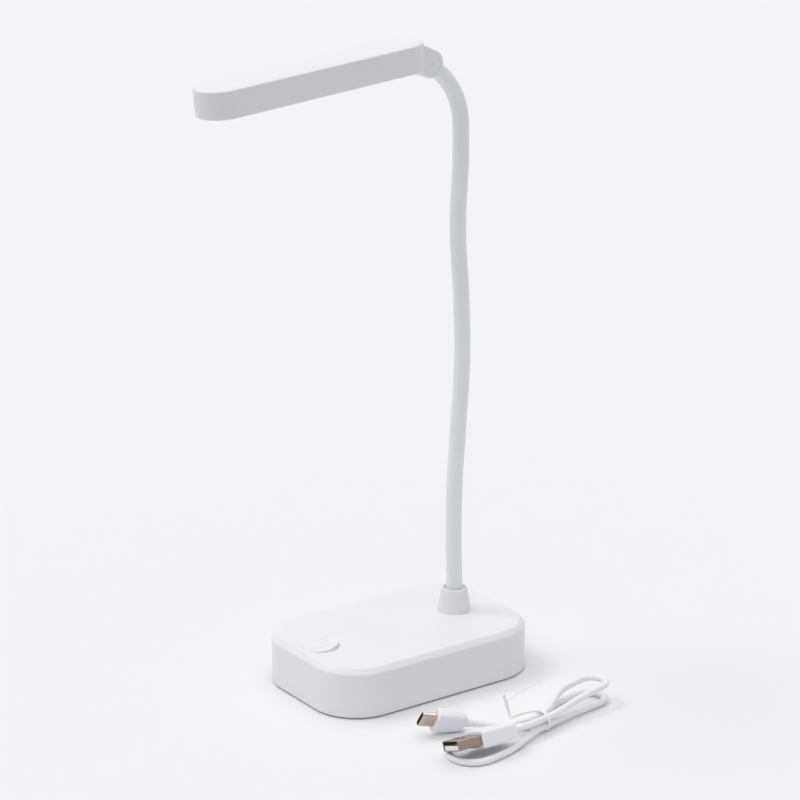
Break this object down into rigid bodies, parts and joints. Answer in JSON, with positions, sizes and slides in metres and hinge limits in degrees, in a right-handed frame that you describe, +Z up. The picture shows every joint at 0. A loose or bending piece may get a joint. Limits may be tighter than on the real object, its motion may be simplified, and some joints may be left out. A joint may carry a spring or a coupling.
{
  "type": "desk lamp",
  "caption": "Rechargeable desk lamp with a weighted rounded base, push button, bendable neck, tilting bar-shaped light head and a tied charging cable.",
  "frame": {"origin": "on the table, under the middle of the base", "axes": "+Z up; -Y is the front, where the button is and where the head points; X across the base"},
  "size_m": [0.1383, 0.1568, 0.2882],
  "materials": {
    "white_shell": "fine matt white moulding",
    "white_gloss": "smooth white moulding",
    "sleeve": "smooth white silicone sleeve",
    "diffuser": "milky translucent window",
    "pad": "dark soft foam",
    "steel": "bright steel",
    "ballast": "plain iron weight",
    "nickel": "nickel plated shell",
    "board": "green circuit board",
    "cell": "shrink sleeve on a battery cell",
    "black_part": "black moulded component",
    "chip": "phosphor on a light chip",
    "cord": "soft white cable jacket",
    "tie": "plastic covered wire"
  },
  "bodies": {
    "base": {"base_shell": "white_shell", "base_cover": "white_shell", "anti_slip_pad": "pad", "cover_screws": "steel", "ballast_plate": "ballast", "battery_cell": "cell", "battery_cradle": "black_part", "control_board": "board", "board_screws": "steel", "tact_switch": "black_part", "charge_board": "board", "charge_socket": "nickel", "neck_collar": "white_shell", "neck_root": "sleeve", "neck_washer": "steel", "neck_nut": "steel"},
    "button": {"power_button": "white_gloss", "switch_plunger": "black_part"},
    "neck_1": {"neck_link_1": "sleeve"},
    "neck_2": {"neck_link_2": "sleeve"},
    "neck_3": {"neck_link_3": "sleeve"},
    "neck_4": {"neck_link_4": "sleeve"},
    "neck_5": {"neck_link_5": "sleeve"},
    "neck_6": {"neck_link_6": "sleeve"},
    "neck_7": {"neck_link_7": "sleeve"},
    "neck_8": {"neck_link_8": "sleeve", "neck_tongue": "white_shell"},
    "head": {"head_housing": "white_shell", "head_diffuser": "diffuser", "light_board": "board", "light_chips": "chip", "light_screws": "steel", "head_fork": "white_shell", "fork_screws": "steel", "hinge_pin": "steel"},
    "cable": {"small_plug_shell": "nickel", "small_plug_moulding": "cord", "small_plug_relief": "cord", "large_plug_shell": "nickel", "large_plug_insert": "cord", "large_plug_moulding": "cord", "large_plug_relief": "cord", "cable_hank": "cord", "twist_tie": "tie"}
  },
  "joints": [
    {"name": "neck_lower_bend", "type": "hinge", "parent": "base", "child": "neck_1", "pos_m": [0, 0.0309, 0.04], "axis": [1, 0, 0], "range_deg": [-17, 17]},
    {"name": "neck_lower_sway", "type": "hinge", "parent": "neck_1", "child": "neck_2", "pos_m": [0, 0.03027, 0.06989], "axis": [0, 1, 0], "range_deg": [-15, 15]},
    {"name": "neck_lower_bend_2", "type": "hinge", "parent": "neck_2", "child": "neck_3", "pos_m": [0, 0.03163, 0.09975], "axis": [1, 0, 0], "range_deg": [-17, 17]},
    {"name": "neck_lower_sway_2", "type": "hinge", "parent": "neck_3", "child": "neck_4", "pos_m": [0, 0.03377, 0.12958], "axis": [0, 1, 0], "range_deg": [-15, 15]},
    {"name": "neck_upper_bend", "type": "hinge", "parent": "neck_4", "child": "neck_5", "pos_m": [0, 0.03416, 0.15946], "axis": [-1, 0, 0], "range_deg": [-17, 17]},
    {"name": "neck_upper_sway", "type": "hinge", "parent": "neck_5", "child": "neck_6", "pos_m": [0, 0.03223, 0.18929], "axis": [0, -1, 0], "range_deg": [-15, 15]},
    {"name": "neck_upper_bend_2", "type": "hinge", "parent": "neck_6", "child": "neck_7", "pos_m": [0, 0.0321, 0.21916], "axis": [-1, 0, 0], "range_deg": [-17, 17]},
    {"name": "neck_upper_sway_2", "type": "hinge", "parent": "neck_7", "child": "neck_8", "pos_m": [0, 0.03267, 0.24903], "axis": [0, -1, 0], "range_deg": [-15, 15]},
    {"name": "head_tilt", "type": "hinge", "parent": "neck_8", "child": "head", "pos_m": [0, 0.0138, 0.27702], "axis": [1, 0, 0], "range_deg": [-40, 40]},
    {"name": "button_press", "type": "slide", "parent": "base", "child": "button", "axis": [0, 0, -1], "range_m": [0, 0.0005], "stiffness_N_per_m": 2000},
    {"name": "cable_slide", "type": "slide", "parent": "base", "child": "cable", "axis": [1, 0, 0], "range_m": [0, 0.1]}
  ],
  "couplings": [
    {"joint": "neck_lower_bend_2", "follows": "neck_lower_bend", "ratio": 1},
    {"joint": "neck_lower_sway_2", "follows": "neck_lower_sway", "ratio": 1},
    {"joint": "neck_upper_bend_2", "follows": "neck_upper_bend", "ratio": 1},
    {"joint": "neck_upper_sway_2", "follows": "neck_upper_sway", "ratio": 1}
  ]
}
